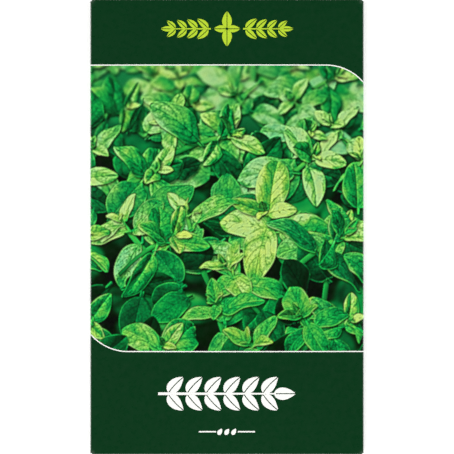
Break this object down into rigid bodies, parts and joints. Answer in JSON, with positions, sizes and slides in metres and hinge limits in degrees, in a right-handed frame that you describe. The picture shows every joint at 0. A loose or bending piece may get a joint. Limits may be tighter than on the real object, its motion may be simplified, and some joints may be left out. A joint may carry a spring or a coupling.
{
  "type": "seed packet",
  "caption": "Flat printed paper packet, filled and glued shut, with a leafy herb picture between two fine lines and a sealed inner sachet of seed. It lies on its back.",
  "frame": {"origin": "on the resting plane, under the middle of the packet as it lies on its back", "axes": "+X across the printed front to the right, +Y up the front towards the closing flap, +Z out of the printed front"},
  "size_m": [0.084, 0.14, 0.0027],
  "materials": {
    "printed_paper": "satin",
    "picture_ink": "satin",
    "white_ink": "satin",
    "lime_ink": "satin",
    "sachet_laminate": "satin",
    "seed": "matte"
  },
  "bodies": {
    "root": {"paper_packet": "printed_paper", "sachet_back_web": "sachet_laminate", "sachet_front_web": "sachet_laminate", "oregano_seed": "seed"}
  },
  "joints": []
}
